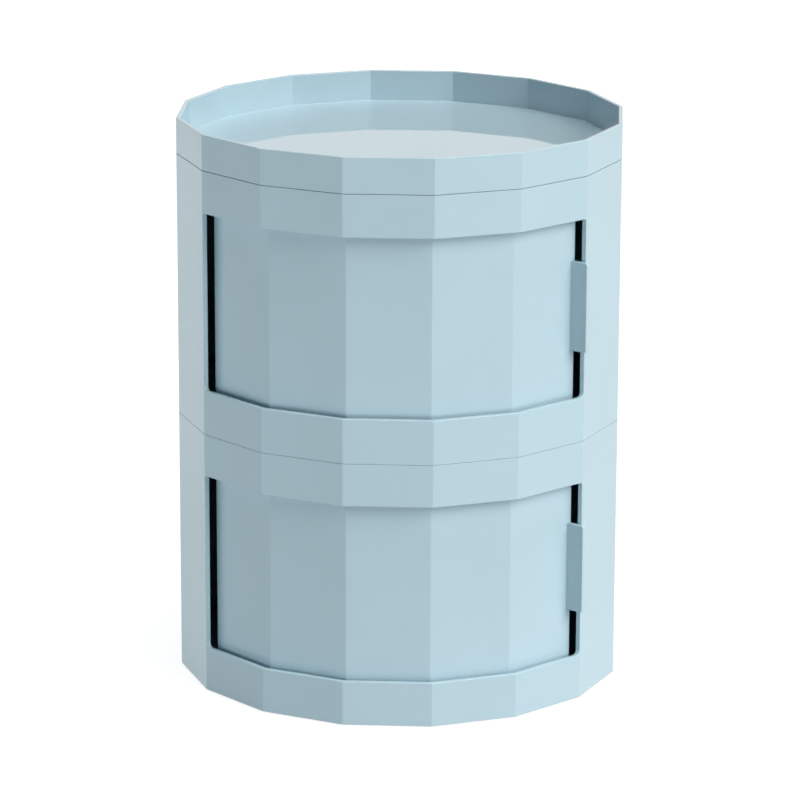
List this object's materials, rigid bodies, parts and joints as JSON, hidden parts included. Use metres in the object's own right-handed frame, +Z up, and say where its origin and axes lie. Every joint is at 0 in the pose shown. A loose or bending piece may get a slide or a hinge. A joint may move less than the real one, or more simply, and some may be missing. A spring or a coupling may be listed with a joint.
{
  "type": "round side cabinet",
  "caption": "Pale blue faceted round storage cabinet of stacked plastic modules: doors with fin handles slide round the body behind wide windows, and a raised-rim tray lies on top.",
  "frame": {"origin": "on the ground, on the cabinet's upright axis", "axes": "+Z up, the windows and doors face -Y, +X is to the right of someone who stands in front"},
  "size_m": [0.3138, 0.3138, 0.4053],
  "materials": {
    "shell_abs": "semi-gloss moulded",
    "door_abs": "semi-gloss moulded",
    "tray_abs": "glossy moulded",
    "floor_abs": "satin moulded",
    "guide_ring_abs": "satin moulded",
    "glide_acetal": "natural",
    "foot_rubber": "matt"
  },
  "bodies": {
    "cabinet": {"lower_shell": "shell_abs", "lower_floor": "floor_abs", "lower_guide_ring": "guide_ring_abs", "upper_shell": "shell_abs", "upper_floor": "floor_abs", "upper_guide_ring": "guide_ring_abs", "foot_front_left": "foot_rubber", "foot_front_right": "foot_rubber", "foot_back_left": "foot_rubber", "foot_back_right": "foot_rubber"},
    "lower_door": {"lower_door": "door_abs", "lower_door_glide_left": "glide_acetal", "lower_door_glide_right": "glide_acetal", "lower_door_guide_left": "glide_acetal", "lower_door_guide_right": "glide_acetal"},
    "upper_door": {"upper_door": "door_abs", "upper_door_glide_left": "glide_acetal", "upper_door_glide_right": "glide_acetal", "upper_door_guide_left": "glide_acetal", "upper_door_guide_right": "glide_acetal"},
    "tray": {"top_tray": "tray_abs"}
  },
  "joints": [
    {"name": "lower_door_turn", "type": "hinge", "parent": "cabinet", "child": "lower_door", "pos_m": [0, 0, 0.096], "axis": [0, 0, -1], "range_deg": [0, 110.6]},
    {"name": "upper_door_turn", "type": "hinge", "parent": "cabinet", "child": "upper_door", "pos_m": [0, 0, 0.2855], "axis": [0, 0, -1], "range_deg": [0, 110.6]},
    {"name": "tray_lift", "type": "slide", "parent": "cabinet", "child": "tray", "axis": [0, 0, 1], "range_m": [0, 0.05]}
  ]
}
